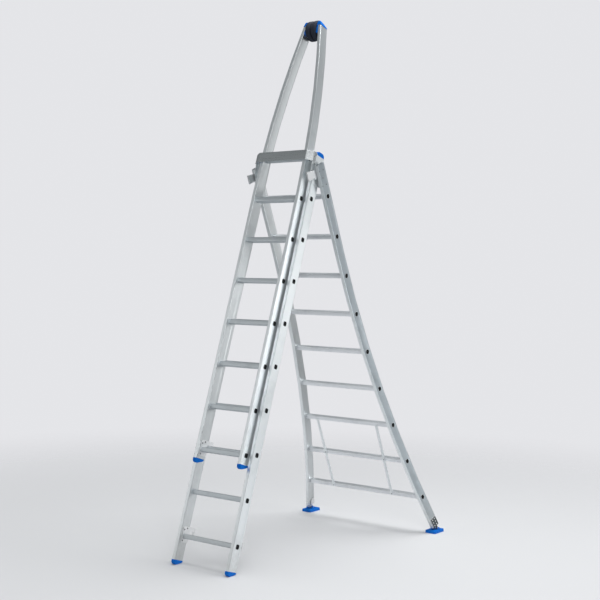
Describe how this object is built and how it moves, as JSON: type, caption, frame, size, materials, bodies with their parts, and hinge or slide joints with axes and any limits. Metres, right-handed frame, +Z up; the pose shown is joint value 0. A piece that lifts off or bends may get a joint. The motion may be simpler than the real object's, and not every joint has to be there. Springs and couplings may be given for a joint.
{
  "type": "combination ladder",
  "caption": "Aluminium combination ladder standing open: hooked sliding top section with rollers at its tapered tip, and a hinged, flared rear section on swivelling feet.",
  "frame": {"origin": "floor level, under the middle of the bounding box", "axes": "+X along the rungs to the right of a person facing the rungs, +Y from the climbing side to the rear feet, +Z up"},
  "size_m": [1.1776, 1.925, 3.5273],
  "materials": {
    "satin_aluminium": "satin extruded, faint lengthwise draw lines",
    "zinc_plated_steel": "satin zinc plated sheet",
    "blue_plastic": "satin moulded",
    "black_rubber": "matt"
  },
  "bodies": {
    "middle_section": {"hinge_stud_left": "zinc_plated_steel", "hinge_stud_right": "zinc_plated_steel", "middle_cap_left": "blue_plastic", "middle_cap_right": "blue_plastic", "middle_foot_left": "blue_plastic", "middle_foot_right": "blue_plastic", "middle_hook_left": "zinc_plated_steel", "middle_hook_right": "zinc_plated_steel", "middle_rung_1": "satin_aluminium", "middle_rung_2": "satin_aluminium", "middle_rung_3": "satin_aluminium", "middle_rung_4": "satin_aluminium", "middle_rung_5": "satin_aluminium", "middle_rung_6": "satin_aluminium", "middle_rung_7": "satin_aluminium", "middle_rung_8": "satin_aluminium", "middle_rung_9": "satin_aluminium", "middle_stile_left": "satin_aluminium", "middle_stile_right": "satin_aluminium", "retaining_bar": "satin_aluminium", "side_plate_left": "satin_aluminium", "side_plate_right": "satin_aluminium"},
    "top_section": {"roller_axle": "zinc_plated_steel", "tip_cap_left": "blue_plastic", "tip_cap_right": "blue_plastic", "top_foot_left": "blue_plastic", "top_foot_right": "blue_plastic", "top_hook_left": "zinc_plated_steel", "top_hook_right": "zinc_plated_steel", "top_rung_1": "satin_aluminium", "top_rung_2": "satin_aluminium", "top_rung_3": "satin_aluminium", "top_rung_4": "satin_aluminium", "top_rung_5": "satin_aluminium", "top_rung_6": "satin_aluminium", "top_rung_7": "satin_aluminium", "top_rung_8": "satin_aluminium", "top_stile_left": "satin_aluminium", "top_stile_right": "satin_aluminium"},
    "roller_left": {"roller_left": "black_rubber"},
    "roller_right": {"roller_right": "black_rubber"},
    "rear_section": {"foot_bracket_left": "zinc_plated_steel", "foot_bracket_right": "zinc_plated_steel", "rear_rung_1": "satin_aluminium", "rear_rung_2": "satin_aluminium", "rear_rung_3": "satin_aluminium", "rear_rung_4": "satin_aluminium", "rear_rung_5": "satin_aluminium", "rear_rung_6": "satin_aluminium", "rear_rung_7": "satin_aluminium", "rear_rung_8": "satin_aluminium", "rear_rung_9": "satin_aluminium", "rear_stile_left": "satin_aluminium", "rear_stile_right": "satin_aluminium", "tie_bar_left": "satin_aluminium", "tie_bar_right": "satin_aluminium", "wing_plate_left": "zinc_plated_steel", "wing_plate_right": "zinc_plated_steel"},
    "rear_foot_left": {"rear_foot_left": "blue_plastic"},
    "rear_foot_right": {"rear_foot_right": "blue_plastic"}
  },
  "joints": [
    {"name": "top_slide", "type": "slide", "parent": "middle_section", "child": "top_section", "axis": [0, 0.3074, 0.9516], "range_m": [-0.56, 1.12]},
    {"name": "rear_hinge", "type": "hinge", "parent": "middle_section", "child": "rear_section", "pos_m": [0, -0.10631, 2.39058], "axis": [-1, 0, 0], "range_deg": [0, 39.5]},
    {"name": "rear_foot_left_swivel", "type": "hinge", "parent": "rear_section", "child": "rear_foot_left", "pos_m": [-0.5548, 0.89845, 0.03], "axis": [1, 0, 0], "range_deg": [-12, 25]},
    {"name": "rear_foot_right_swivel", "type": "hinge", "parent": "rear_section", "child": "rear_foot_right", "pos_m": [0.5548, 0.89845, 0.03], "axis": [1, 0, 0], "range_deg": [-12, 25]},
    {"name": "roller_left_spin", "type": "hinge", "parent": "top_section", "child": "roller_left", "pos_m": [0, 0.13803, 3.45941], "axis": [1, 0, 0], "continuous": true},
    {"name": "roller_right_spin", "type": "hinge", "parent": "top_section", "child": "roller_right", "pos_m": [0, 0.13803, 3.45941], "axis": [1, 0, 0], "continuous": true}
  ]
}
